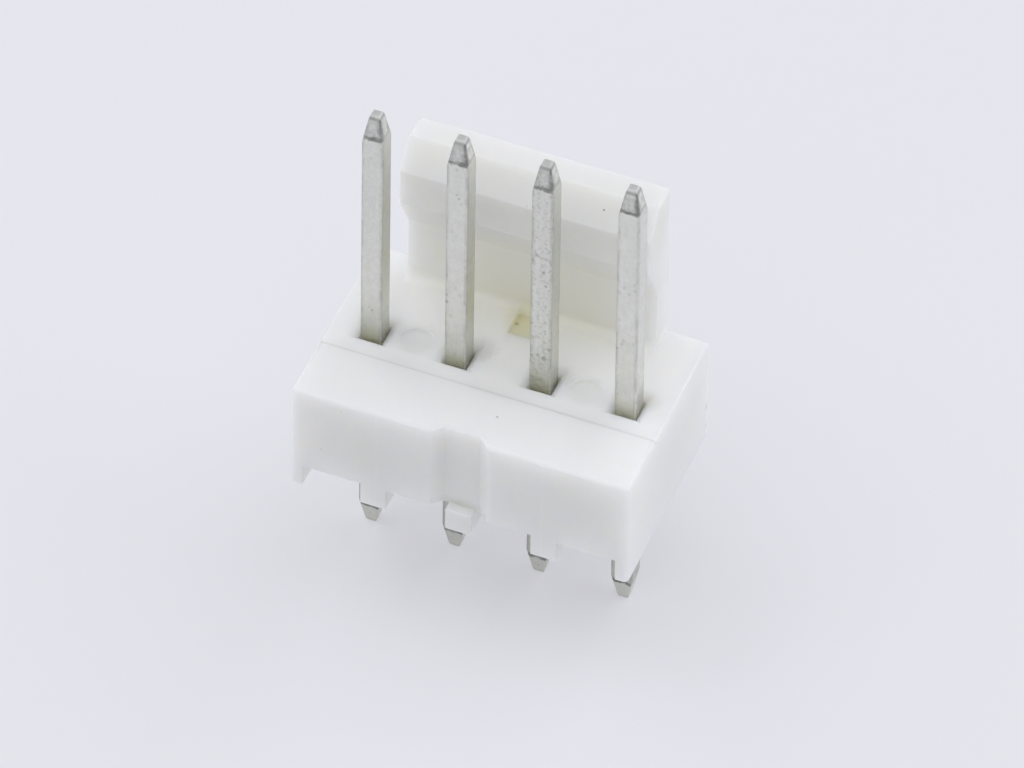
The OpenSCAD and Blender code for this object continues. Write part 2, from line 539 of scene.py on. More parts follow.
    def ejector_rims(self, sheet: Sheet, axis: list) -> Socket:
        """Return the mask of the soft shade in the two round ejector marks, darkest along the back rim.

        Args:
            sheet: The material's sheet.
            axis: The piece's coordinates in millimetres.

        Returns:
            The mask, from 0 to 1.
        """
        centre = sheet.times(sheet.math("SIGN", axis[0]), self.ejector_x)
        across = sheet.math("SUBTRACT", axis[0], centre)
        from_axis = sheet.put("ShaderNodeCombineXYZ", {0: across, 1: axis[1]}).outputs[0]
        off = sheet.math("SUBTRACT", sheet.vector("LENGTH", from_axis), self.ejector_radius)
        rim = sheet.ramp(sheet.distance(off, -self.rim_inset), *self.rim_span)
        back = sheet.ramp(sheet.vector("DOT_PRODUCT", from_axis, self.rim_back), *self.rim_back_span)
        inside = sheet.times(sheet.ramp(off, *self.inside_span), self.inside_share)
        on_top = sheet.math("GREATER_THAN", axis[2], self.top_z)
        return sheet.times(sheet.largest(sheet.times(rim, back), inside), on_top)

    def well_shadows(self, sheet: Sheet, axis: list) -> Socket:
        """Return the mask of the painted shadow at the back right of each post's well, where the post shades
        it.

        Args:
            sheet: The material's sheet.
            axis: The piece's coordinates in millimetres.

        Returns:
            The mask, from 0 to 1.
        """
        across = sheet.math("SUBTRACT", sheet.math("WRAP", axis[0], self.pitch, 0.0), self.pitch / 2)
        from_axis = sheet.put("ShaderNodeCombineXYZ", {0: across, 1: axis[1]}).outputs[0]
        patch = sheet.ramp(sheet.vector("DISTANCE", from_axis, self.shadow_place), *self.shadow_span)
        return sheet.times(patch, sheet.math("GREATER_THAN", axis[2], self.well_z))

    def ledge_shade(self, sheet: Sheet, axis: list) -> Socket:
        """Return the mask of the painted shade in the corner where the front groove ends on the centre rib.

        Args:
            sheet: The material's sheet.
            axis: The piece's coordinates in millimetres.

        Returns:
            The mask, from 0 to 1.
        """
        near = sheet.ramp(sheet.distance(axis[2], self.ledge_z), *self.ledge_span)
        behind_front = sheet.math("GREATER_THAN", axis[1], self.front_y - self.slack)
        in_groove = sheet.times(behind_front, sheet.math("LESS_THAN", axis[1], self.groove_y))
        middle = sheet.math("LESS_THAN", sheet.math("ABSOLUTE", axis[0]), self.ledge_half)
        below = sheet.math("LESS_THAN", axis[2], self.ledge_z + self.slack)
        rib_front = sheet.times(below, sheet.ramp(axis[1], self.front_y + self.rib_front_fade, self.front_y))
        shade = sheet.largest(sheet.times(near, in_groove), sheet.times(rib_front, self.rib_front_share))
        return sheet.times(shade, middle)

    def seams(self, sheet: Sheet, axis: list) -> Socket:
        """Return the mask of the two faint tool lines down the front face.

        Args:
            sheet: The material's sheet.
            axis: The piece's coordinates in millimetres.

        Returns:
            The mask, from 0 to 1.
        """
        off = sheet.distance(sheet.math("ABSOLUTE", axis[0]), self.seam_x)
        line = sheet.ramp(off, *self.seam_span)
        return sheet.times(line, sheet.math("LESS_THAN", axis[1], self.front_y))


@dataclass(frozen=True)
class TinPlate:
    """Finish of the posts: mottled tin plate with draw marks and pits, coined dark at the tapered ends,
    painted shade on sides and tails.

    Places and widths are in millimetres. A span says where a soft step starts and ends, and a share says how
    much of a colour is laid on.
    """

    base: Colour = (0.782, 0.784, 0.742)
    dull: Colour = (0.67, 0.675, 0.62)
    bright: Colour = (0.87, 0.87, 0.845)
    coined: Colour = (0.60, 0.605, 0.575)
    flat_end: Colour = (0.40, 0.405, 0.385)
    end_rim: Colour = (0.48, 0.485, 0.46)
    tail_end_light: Colour = (0.675, 0.68, 0.625)
    olive: Colour = (0.42, 0.42, 0.26)
    shade: Colour = (0.28, 0.28, 0.215)
    dark: Colour = (0.17, 0.175, 0.16)
    cloud_share: float = 0.4
    mottle_share: float = 0.5
    wear_share: float = 0.7
    shine_shares: Span = (0.1, 0.25)
    pressed_shares: Span = (0.45, 0.85)
    smear_share: float = 0.3
    side_clean: Span = (1.0, 0.3)
    olive_share: float = 0.5
    lower_share: float = 0.35
    tail_share: float = 0.9
    line_share: float = 0.85
    edge_share: float = 0.25
    side_growth: Growth = (0.1, 1.2, 0.12)
    foot_growth: Growth = (0.05, 2.2, 0.4)
    grain_growth: Growth = (0.0, 0.4, 0.075)
    roughness: Span = (0.30, 0.42)
    end_roughness: float = 0.2
    end_rough_span: Span = (0.2, 0.1)
    cloud_scale: float = 2.2
    mottle_scale: float = 7.5
    mottle_weight: float = 0.6
    relief_scale: float = 18.0
    draw_scale: Point = (11.0, 11.0, 0.7)
    upper_z: float = 1.0
    side_insets: Span = (0.06, 0.02)
    taper_fade: float = 0.04
    corner_span: Span = (0.03, -0.03)
    rim_span: Span = (0.18, 0.10)
    flat_span: Span = (0.02, 0.0)
    foot_span: Span = (4.6, 3.1)
    well_span: Span = (3.75, 3.1)
    pit_scale: float = 7.0
    pit_share: float = 0.16
    pit_stretch: Point = (1.0, 1.0, 0.75)
    front_slack: float = 0.03
    fleck_scale: float = 9.0
    fleck_span: Span = (0.46, 0.70)
    fleck_share: float = 0.3
    grain_scale: float = 16.0
    grain_span: Span = (0.42, 0.68)
    wobble_scale: float = 6.0
    shoulder_wobble: float = 0.22
    shoulder_inset: float = 0.02
    shoulder_span: Span = (0.09, 0.03)
    corner_wobble: float = 0.12
    corner_width: float = 0.04
    corner_widening: float = 0.2
    corner_line_span: Span = (1.3, 0.1)
    off_flat_span: Span = (0.04, 0.10)
    less_pressed: float = 0.3
    lip_place: float = 0.09
    lip_span: Span = (0.06, 0.015)
    lip_shares: Span = (0.15, 0.40)
    break_scale: float = 3.3
    break_span: Span = (0.3, 0.6)
    least_line: float = 0.55
    edge_insets: Span = (0.11, 0.05)
    nick_scale: float = 8.0
    nick_span: Span = (0.40, 0.62)
    nick_stretch: Point = (1.0, 1.0, 0.35)
    least_edge_shade: float = 0.3
    marks: tuple[SpotOrShade, ...] = (
        SpotOrShade((-3.77, -0.32, 4.08), 0.05, 0.35),
        SpotOrShade((-1.267, -0.32, 8.94), 0.045, 0.35),
        SpotOrShade((-1.206, -0.32, 8.82), 0.045, 0.35),
        SpotOrShade((-1.54, -0.32, 5.40), 0.06, 0.3),
        SpotOrShade((-1.54, -0.32, 5.15), 0.07, 0.4),
        SpotOrShade((1.02, -0.32, 4.18), 0.07, 0.35, 1.6),
        SpotOrShade((1.22, -0.32, 4.22), 0.07, 0.35, 1.6),
        SpotOrShade((1.40, -0.32, 4.15), 0.10, 0.40, 1.6),
        SpotOrShade((1.55, -0.32, 4.50), 0.07, 0.40, 1.6),
        SpotOrShade((1.13, -0.32, 7.68), 0.08, 0.40, 1.6),
        SpotOrShade((1.02, -0.32, 7.48), 0.07, 0.35, 1.6),
        SpotOrShade((1.34, -0.32, 7.12), 0.06, 0.50, 1.2),
        SpotOrShade((1.41, -0.32, 6.68), 0.06, 0.45, 1.2),
        SpotOrShade((1.08, -0.32, 3.36), 0.16, 0.22, 1.6),
        SpotOrShade((1.31, -0.32, 3.38), 0.12, 0.18, 1.6),
        SpotOrShade((3.54, -0.32, 5.28), 0.045, 0.4),
        SpotOrShade((3.68, -0.32, 5.47), 0.045, 0.3),
        # Painted shade on the lower right face of the last post
        SpotOrShade((4.13, 0.12, 3.55), 0.46, 0.22, 0.4),
    )

    def material(
        self, shelf: EffectShelf, top: float, tail: float, taper: float, half: float
    ) -> bpy.types.Material:
        """Make the finish.

        Args:
            shelf: The shared effects.
            top: Height of the post's upper end, in millimetres.
            tail: Depth of its lower end under the board's surface.
            taper: Length of the tapered end.
            half: Half the side of the post.

        Returns:
            The material.
        """
        material, sheet, out = new_material("tin_plate")
        place = place_in_mm(sheet)
        local = sheet.put("ShaderNodeAttribute", attribute_name=LOCAL_PLACE).outputs["Vector"]
        wear = sheet.put("ShaderNodeAttribute", attribute_name=POST_WEAR).outputs["Fac"]
        axis = sheet.put("ShaderNodeSeparateXYZ", {0: local}).outputs
        to_end = sheet.math("MINIMUM", sheet.math("SUBTRACT", top, axis[2]), sheet.math("ADD", axis[2], tail))
        upper = sheet.math("GREATER_THAN", axis[2], self.upper_z)
        lower = sheet.math("SUBTRACT", 1.0, upper)
        cloud = shelf.take(sheet, Effect.CLOUD, Vector=place, Scale=self.cloud_scale, Detail=4.0)
        mottle = shelf.take(sheet, Effect.CLOUD, Vector=place, Scale=self.mottle_scale, Detail=3.0)
        drawn = sheet.vector("MULTIPLY", place, self.draw_scale)
        streak = shelf.take(sheet, Effect.CLOUD, Vector=drawn, Scale=1.0, Detail=2.0)
        colour = sheet.tint(self.base, cloud, self.cloud_share, self.dull)
        colour = sheet.tint(colour, mottle, self.mottle_share, self.dull)
        colour = sheet.tint(colour, wear, self.wear_share, self.dull)
        colour = sheet.tint(colour, streak, sheet.between(wear, *self.shine_shares), self.bright)
        on_side = sheet.ramp(sheet.math("ABSOLUTE", axis[0]), *(half - inset for inset in self.side_insets))
        # Painted shade: the side faces are darker, more on the more worn posts
        colour = sheet.tint(colour, on_side, sheet.growth(wear, *self.side_growth), self.shade)
        on_taper = sheet.ramp(to_end, taper + self.taper_fade, taper - self.taper_fade)
        on_tip = sheet.times(on_taper, upper)
        # The front and back of a tapered end were pressed hardest, so they are dullest
        off_corner = sheet.math("SUBTRACT", sheet.math("ABSOLUTE", axis[0]), sheet.math("ABSOLUTE", axis[1]))
        pressed = sheet.ramp(off_corner, *self.corner_span)
        colour = sheet.tint(colour, on_tip, sheet.between(pressed, *self.pressed_shares), self.coined)
        colour = sheet.tint(colour, on_tip, sheet.times(mottle, self.smear_share), self.dark)
        # Painted shade: the ends are dark, which holds down the lamps' glint on their rounded rims
        colour = sheet.tint(colour, sheet.ramp(to_end, *self.rim_span), upper, self.end_rim)
        colour = sheet.tint(colour, sheet.ramp(to_end, *self.flat_span), upper, self.flat_end)
        # The posts are darker and more olive towards where they leave the nylon above the board
        off_side = sheet.times(upper, sheet.between(on_side, *self.side_clean))
        foot = sheet.times(sheet.ramp(axis[2], *self.foot_span), off_side)
        colour = sheet.tint(colour, foot, sheet.growth(wear, *self.foot_growth), self.shade)
        at_well = sheet.times(sheet.ramp(axis[2], *self.well_span), off_side)
        colour = sheet.tint(colour, at_well, self.olive_share, self.olive)
        # Painted shade on the tails under the base; their tapered ends are painted a lighter olive where they
        # reflect the shaded floor
        colour = sheet.tint(colour, lower, self.lower_share, self.shade)
        colour = sheet.tint(colour, sheet.times(on_taper, lower), self.tail_share, self.tail_end_light)
        pits = self.pits(sheet, shelf, place, axis, wear, half)
        colour = sheet.mix(pits, colour, self.dark)
        lines = self.coined_lines(sheet, place, axis, to_end, on_tip, off_corner, taper)
        colour = sheet.tint(colour, lines, self.line_share, self.dark)
        # Painted shade along the long edges, where their rounds reflect dark, with small nicks in it
        colour = sheet.tint(colour, self.edge_shade_and_nicks(sheet, place, axis, half), self.edge_share, self.dark)
        colour = shelf.marked(sheet, place, colour, self.marks, self.dark)
        grain = sheet.noise(place, self.relief_scale, 3.0)
        raised = sheet.math("MULTIPLY_ADD", mottle, self.mottle_weight, grain)
        relief = sheet.math("SUBTRACT", raised, sheet.largest(pits, lines))
        bump = sheet.put("ShaderNodeBump", {"Strength": 0.35, "Distance": 0.012 * MM, "Height": relief})
        gloss = sheet.between(cloud, *self.roughness)
        for mask in (on_taper, sheet.ramp(to_end, *self.end_rough_span)):
            gloss = sheet.math("MULTIPLY_ADD", mask, self.end_roughness, gloss)
        shader = sheet.put(
            "ShaderNodeBsdfPrincipled",
            {"Base Color": colour, "Metallic": 1.0, "Roughness": gloss, "Normal": bump.outputs[0]},
        )
        sheet.feed(out.inputs[0], shader.outputs[0])
        return material

    def pits(
        self, sheet: Sheet, shelf: EffectShelf, place: Socket, axis: list, wear: Socket, half: float
    ) -> Socket:
        """Return how dark the pits in the plating and the rubbed flecks on the fronts are.

        Args:
            sheet: The material's sheet.
            shelf: The shared effects.
            place: The piece's coordinates in millimetres.
            axis: Coordinates about the post's own axis.
            wear: How worn the post is, from 0 to 1.
            half: Half the side of the post.

        Returns:
            The mask, from 0 to 1.
        """
        longer = sheet.vector("MULTIPLY", place, self.pit_stretch)
        fine = shelf.take(sheet, Effect.SPECKS, Vector=longer, Scale=self.pit_scale, Size=0.38, Share=0.18)
        faint = sheet.times(fine, self.pit_share)
        on_front = sheet.math("LESS_THAN", axis[1], self.front_slack - half)
        rubbed = sheet.ramp(sheet.noise(place, self.fleck_scale, 3.0), *self.fleck_span)
        flecks = sheet.times(rubbed, on_front, wear, self.fleck_share)
        grain = sheet.ramp(sheet.noise(place, self.grain_scale), *self.grain_span)
        fine_grain = sheet.times(grain, sheet.growth(wear, *self.grain_growth))
        return sheet.largest(faint, flecks, fine_grain)

    def coined_lines(
        self,
        sheet: Sheet,
        place: Socket,
        axis: list,
        to_end: Socket,
        on_tip: Socket,
        off_corner: Socket,
        taper: float,
    ) -> Socket:
        """Return the mask of the dark lines that coining leaves on the tapered ends.

        Two opposite sides and two opposite corners took more of the coining than the others.

        Args:
            sheet: The material's sheet.
            place: The piece's coordinates in millimetres.
            axis: Coordinates about the post's own axis, in millimetres.
            to_end: Distance to the nearer end.
            on_tip: 1 on the upper tapered ends and 0 on the rest.
            off_corner: 0 at the post's corners, more on its sides and less on its front and back.
            taper: Length of the tapered end.

        Returns:
            The mask, from 0 to 1.
        """
        wobble = sheet.math("SUBTRACT", sheet.noise(place, self.wobble_scale), 0.5)
        wavy_end = sheet.math("MULTIPLY_ADD", wobble, self.shoulder_wobble, to_end)
        shoulder = sheet.ramp(sheet.distance(wavy_end, taper - self.shoulder_inset), *self.shoulder_span)
        pressed_side = sheet.between(sheet.ramp(off_corner, *self.corner_span), self.less_pressed, 1.0)
        ragged = sheet.math("MULTIPLY_ADD", wobble, self.corner_wobble, sheet.math("ABSOLUTE", off_corner))
        below_flat = sheet.times(on_tip, sheet.ramp(to_end, *self.off_flat_span))
        # A corner's line widens from the end down to the shoulder
        width = sheet.math("MULTIPLY_ADD", to_end, self.corner_widening, self.corner_width)
        line = sheet.ramp(sheet.math("DIVIDE", ragged, width), *self.corner_line_span)
        pressed_pair = sheet.math("LESS_THAN", sheet.times(axis[0], axis[1]), 0.0)
        pressed_corner = sheet.between(pressed_pair, self.less_pressed, 1.0)
        lip = sheet.ramp(sheet.distance(to_end, self.lip_place), *self.lip_span)
        lines = sheet.largest(
            sheet.times(shoulder, pressed_side),
            sheet.times(sheet.times(line, below_flat), pressed_corner),
            sheet.times(lip, sheet.between(on_tip, *self.lip_shares)),
        )
        broken = sheet.ramp(sheet.noise(place, self.break_scale), *self.break_span)
        return sheet.times(lines, sheet.between(broken, self.least_line, 1.0))

    def edge_shade_and_nicks(self, sheet: Sheet, place: Socket, axis: list, half: float) -> Socket:
        """Return the mask of the painted shade along the post's long edges, with small dark nicks in it.

        Args:
            sheet: The material's sheet.
            place: The piece's coordinates in millimetres.
            axis: Coordinates about the post's own axis.
            half: Half the side of the post.

        Returns:
            The mask, from 0 to 1.
        """
        reach = sheet.math("ADD", sheet.math("ABSOLUTE", axis[0]), sheet.math("ABSOLUTE", axis[1]))
        near_edge = sheet.ramp(reach, *(2 * half - inset for inset in self.edge_insets))
        stretched = sheet.vector("MULTIPLY", place, self.nick_stretch)
        nicks = sheet.ramp(sheet.noise(stretched, self.nick_scale), *self.nick_span)
        return sheet.times(near_edge, sheet.between(nicks, self.least_edge_shade, 1.0))


@dataclass(frozen=True)
class StudioFloor:
    """Finish of the floor: a plain pale lavender sheet that shows nothing from below."""

    base: Colour = (0.82, 0.82, 0.83)
    cloudy: Colour = (0.80, 0.805, 0.81)
    cloud_scale: float = 0.06
    cloud_share: float = 0.15
    roughness: float = 0.9
    shown_share: float = 0.45

    def material(self, shelf: EffectShelf, backdrop: Colour) -> bpy.types.Material:
        """Make the finish.

        Args:
            shelf: The shared effects.
            backdrop: Colour of the backdrop, which rays that show the floor see in part.

        Returns:
            The material.
        """
        material, sheet, out = new_material("studio_floor")
        place = place_in_mm(sheet)
        cloud = shelf.take(sheet, Effect.CLOUD, Vector=place, Scale=self.cloud_scale, Detail=2.0)
        colour = sheet.tint(self.base, cloud, self.cloud_share, self.cloudy)
        paper = sheet.put("ShaderNodeBsdfPrincipled", {"Base Color": colour, "Roughness": self.roughness})
        glow = sheet.put("ShaderNodeEmission", {"Color": (*backdrop, 1.0), "Strength": 1.0})
        share = sheet.times(seen_directly(sheet), self.shown_share)
        shown = sheet.put("ShaderNodeMixShader", {0: share, 1: paper.outputs[0], 2: glow.outputs[0]})
        clear = sheet.put("ShaderNodeBsdfTransparent")
        back = sheet.put("ShaderNodeNewGeometry").outputs["Backfacing"]
        either = sheet.put("ShaderNodeMixShader", {0: back, 1: shown.outputs[0], 2: clear.outputs[0]})
        sheet.feed(out.inputs[0], either.outputs[0])
        return material


def even_faces(piece: bpy.types.Object) -> None:
    """Let large flat faces keep their own shading where they meet small rounds."""
    weighted = piece.modifiers.new("even_faces", "WEIGHTED_NORMAL")
    weighted.keep_sharp = True
    weighted.weight = FACE_WEIGHT


@dataclass
class Housing:
    """The moulded base with its hooked wall, as one piece.

    Thin strips along its sharp edges keep the shading of the flat faces beside them even.
    """

    node: str = "housing"
    strip: float = 0.06 * MM
    strip_steps: int = 3
    sharp_angle: float = math.radians(50)
    flat_angle: float = math.radians(0.5)
    smooth_angle: float = math.radians(40)
    step_y: float = -1.11 * MM
    ejector_x: float = 2.54 * MM
    ejector_reach: float = 0.6 * MM
    merge: float = 1e-7

    def build(self) -> bpy.types.Object:
        """Copy the CAD solid, join its loose triangles and cut thin strips along its sharp edges.

        Returns:
            The new piece.
        """
        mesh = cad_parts[self.node].data.copy()
        mesh.name = "housing_moulding"
        joined = bmesh.new()
        joined.from_mesh(mesh)
        bmesh.ops.remove_doubles(joined, verts=joined.verts, dist=self.merge)
        bmesh.ops.dissolve_limit(
            joined, angle_limit=self.flat_angle, verts=joined.verts, edges=joined.edges
        )
        sharp = [edge for edge in joined.edges if self.takes_strip(edge)]
        # The clamp holds the strips to about 0.003 mm, because the small rounds have short edges
        bmesh.ops.bevel(
            joined,
            geom=sharp,
            offset=self.strip,
            offset_type="OFFSET",
            segments=self.strip_steps,
            profile=0.5,
            affect="EDGES",
            clamp_overlap=True,
            miter_outer="SHARP",
        )
        joined.to_mesh(mesh)
        joined.free()
        mesh.materials.clear()
        piece = bpy.data.objects.new("housing_moulding", mesh)
        bpy.context.scene.collection.objects.link(piece)
        return piece

    def takes_strip(self, edge: bmesh.types.BMEdge) -> bool:
        """Say whether an edge is sharp; the front's low step and the ejector marks are left as they are.

        Args:
            edge: The edge.

        Returns:
            True if the edge takes a strip.
        """
        if not edge.is_manifold or edge.calc_face_angle() < self.sharp_angle:
            return False
        corner = edge.verts[0].co
        if math.hypot(abs(corner.x) - self.ejector_x, corner.y) < self.ejector_reach:
            return False
        return max(abs(end.co.y - self.step_y) for end in edge.verts) > self.merge

    def dress(self, piece: bpy.types.Object, finish: bpy.types.Material) -> None:
        """Give the piece its finish and smooth its rounds.

        Args:
            piece: The moulding.
            finish: Its material.
        """
        mesh = piece.data
        mesh.materials.append(finish)
        mesh.shade_smooth()
        mesh.set_sharp_from_angle(angle=self.smooth_angle)
        even_faces(piece)
        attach(piece, BODY)
        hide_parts(self.node)


@dataclass
class PostRow:
    """The row of square posts, all made by one rule."""

    count: int = 4
    pitch: float = 2.54 * MM
    side: float = 0.64 * MM
    edge_radius: float = 0.05 * MM
    top: float = 10.67 * MM
    tail: float = 3.56 * MM
    tip_side: float = 0.30 * MM
    taper: float = 0.70 * MM
    rim: float = 0.14 * MM
    shoulder: float = 0.14 * MM
    # How far in each ring of an end's rim is, as a share of the rim, and its width as a share of the tip's
    rim_places: tuple[float, ...] = (0.0, 0.1, 0.36, 1.0)
    rim_widths: tuple[float, ...] = (0.50, 0.80, 1.02, 1.22)
    # Widths of the two rings of the shoulder, as shares of the post's
    shoulder_widths: Span = (0.92, 1.0)
    wear: tuple[float, ...] = (0.22, 0.16, 1.0, 0.08)
    edge_steps: int = 4
    smooth_angle: float = math.radians(35)

    def tree(self, inputs: dict[str, object]) -> tuple[bpy.types.NodeTree, dict[str, str]]:
        """Build the rule: a rounded square swept up a post with tapered ends, repeated along the row.

        Args:
            inputs: The name and value of each input.

        Returns:
            The node tree, and the identifier of each named input.
        """
        tree = bpy.data.node_groups.new("post_row", "GeometryNodeTree")
        kinds = {float: "NodeSocketFloat", int: "NodeSocketInt", bpy.types.Material: "NodeSocketMaterial"}
        identifiers = {}
        for name, value in inputs.items():
            socket = tree.interface.new_socket(name, in_out="INPUT", socket_type=kinds[type(value)])
            identifiers[name] = socket.identifier
        tree.interface.new_socket("Posts", in_out="OUTPUT", socket_type="NodeSocketGeometry")
        sheet = Sheet(tree)
        given = sheet.put("NodeGroupInput").outputs
        post = self.one_post(sheet, given)
        row = self.repeated(sheet, given, post)
        joined = sheet.put("GeometryNodeRealizeInstances", {0: row}).outputs[0]
        dressed = sheet.put("GeometryNodeSetMaterial", {"Geometry": joined, "Material": given["Finish"]})
        out = sheet.put("NodeGroupOutput")
        sheet.feed(out.inputs[0], dressed.outputs[0])
        return tree, identifiers

    def by_index(self, sheet: Sheet, values: list) -> Socket:
        """Return a field that takes one value for each point number.

        Args:
            sheet: The tree's sheet.
            values: One socket or number for each point, in order.

        Returns:
            The field.
        """
        switch = sheet.put("GeometryNodeIndexSwitch", data_type="FLOAT")
        while len(switch.index_switch_items) < len(values):
            switch.index_switch_items.new()
        sheet.feed(switch.inputs[0], sheet.put("GeometryNodeInputIndex").outputs[0])
        for place, value in enumerate(values):
            sheet.feed(switch.inputs[place + 1], value)
        return switch.outputs[0]

    def one_post(self, sheet: Sheet, given: object) -> Socket:
        """Build one post on the Z axis.

        Args:
            sheet: The tree's sheet.
            given: The tree's inputs.

        Returns:
            The post's mesh.
        """
        square = sheet.put(
            "GeometryNodeCurvePrimitiveQuadrilateral", {"Width": given["Side"], "Height": given["Side"]}
        )
        rounded = sheet.put(
            "GeometryNodeFilletCurve",
            {"Curve": square.outputs[0], "Count": self.edge_steps, "Radius": given["Edge Radius"]},
            mode="POLY",
        )
        # Each end has a small flat, three rings that round it, and two that round the taper's shoulder
        low = sheet.math("MULTIPLY", given["Tail"], -1.0)
        tip = sheet.math("DIVIDE", given["Tip Side"], given["Side"])
        past_shoulder = sheet.math("ADD", given["Taper"], self.shoulder)
        in_from_end = [share * self.rim for share in self.rim_places]
        in_from_end += [given["Taper"], past_shoulder]
        rings = [sheet.times(tip, share) for share in self.rim_widths]
        rings += self.shoulder_widths
        heights = [sheet.math("ADD", low, run) for run in in_from_end]
        heights += [sheet.math("SUBTRACT", given["Top"], run) for run in reversed(in_from_end)]
        line = sheet.put("GeometryNodeMeshLine", {"Count": len(heights)}, mode="OFFSET", count_mode="TOTAL")
        upright = sheet.put("ShaderNodeCombineXYZ", {2: self.by_index(sheet, heights)}).outputs[0]
        spine = sheet.put("GeometryNodeSetPosition", {"Geometry": line.outputs[0], "Position": upright})
        curve = sheet.put("GeometryNodeMeshToCurve", {0: spine.outputs[0]})
        scales = self.by_index(sheet, rings + rings[::-1])
        swept = sheet.put(
            "GeometryNodeCurveToMesh",
            {
                "Curve": curve.outputs[0],
                "Profile Curve": rounded.outputs[0],
                "Scale": scales,
                "Fill Caps": True,
            },
        )
        place = sheet.put("GeometryNodeInputPosition").outputs[0]
        in_mm = sheet.vector("MULTIPLY", place, (PER_MM, PER_MM, PER_MM))
        kept = sheet.put(
            "GeometryNodeStoreNamedAttribute",
            {"Geometry": swept.outputs[0], "Name": LOCAL_PLACE, "Value": in_mm},
            data_type="FLOAT_VECTOR",
            domain="POINT",
        )
        return kept.outputs[0]

    def repeated(self, sheet: Sheet, given: object, post: Socket) -> Socket:
        """Repeat one post along the row.

        Args:
            sheet: The tree's sheet.
            given: The tree's inputs.
            post: The post's mesh.

        Returns:
            The row, as instances that know how worn each post is.
        """
        gaps = sheet.math("SUBTRACT", given["Count"], 1.0)
        first = sheet.times(sheet.times(gaps, given["Pitch"]), -0.5)
        start = sheet.put("ShaderNodeCombineXYZ", {0: first}).outputs[0]
        step = sheet.put("ShaderNodeCombineXYZ", {0: given["Pitch"]}).outputs[0]
        places = sheet.put(
            "GeometryNodeMeshLine",
            {"Count": given["Count"], "Start Location": start, "Offset": step},
            mode="OFFSET",
            count_mode="TOTAL",
        )
        row = sheet.put("GeometryNodeInstanceOnPoints", {"Points": places.outputs[0], "Instance": post})
        worn = sheet.put(
            "GeometryNodeStoreNamedAttribute",
            {"Geometry": row.outputs[0], "Name": POST_WEAR, "Value": self.by_index(sheet, list(self.wear))},
            data_type="FLOAT",
            domain="INSTANCE",
        )
        return worn.outputs[0]

    def build(self, finish: bpy.types.Material) -> bpy.types.Object:
        """Run the rule and keep its result as a plain mesh.

        Args:
            finish: The posts' material.

        Returns:
            The new piece.
        """
        inputs = {
            "Pitch": self.pitch,
            "Side": self.side,
            "Edge Radius": self.edge_radius,
            "Top": self.top,
            "Tail": self.tail,
            "Tip Side": self.tip_side,
            "Taper": self.taper,
            "Count": self.count,
            "Finish": finish,
        }
        tree, identifiers = self.tree(inputs)
        seed = bpy.data.objects.new("post_rule", bpy.data.meshes.new("post_rule"))
        bpy.context.scene.collection.objects.link(seed)
        rule = seed.modifiers.new("post_row", "NODES")
        rule.node_group = tree
        for name, value in inputs.items():
            rule[identifiers[name]] = value
        settled = seed.evaluated_get(bpy.context.evaluated_depsgraph_get())
        mesh = bpy.data.meshes.new_from_object(settled)
        mesh.name = "posts"
        seed.modifiers.remove(rule)
        bpy.data.objects.remove(seed)
        piece = bpy.data.objects.new("posts", mesh)
        bpy.context.scene.collection.objects.link(piece)
        return piece

    def dress(self, piece: bpy.types.Object) -> None:
        """Smooth the posts' rounded edges and put them in the CAD posts' place.

        Args:
            piece: The posts.
        """
        piece.data.shade_smooth()
        piece.data.set_sharp_from_angle(angle=self.smooth_angle)
        even_faces(piece)
        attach(piece, BODY)
        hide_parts(*[f"post_{number}" for number in range(1, self.count + 1)])


@dataclass(frozen=True)
class SoftBox:
    """One large round lamp; its level is the brightness it alone gives a white sheet that faces it."""

    name: str
    come_from: Point
    level: float
    distance: float = 0.5
    size: float = 0.9

    def hang(self) -> bpy.types.Object:
        """Hang the lamp so that it faces the object.

        Returns:
            The lamp.
        """
        light = bpy.data.lights.new(self.name, "AREA")
        light.shape = "DISK"
        light.size = self.size
        radius = self.size / 2
        area = math.pi * radius**2
        spread = radius**2 / (radius**2 + self.distance**2)
        light.energy = self.level * math.pi * area / spread
        light.color = COOL_WHITE
        lamp = bpy.data.objects.new(self.name, light)
        direction = Vector(self.come_from).normalized()
        lamp.location = direction * self.distance
        lamp.rotation_euler = direction.to_track_quat("Z", "Y").to_euler()
        bpy.context.scene.collection.objects.link(lamp)
        return lamp


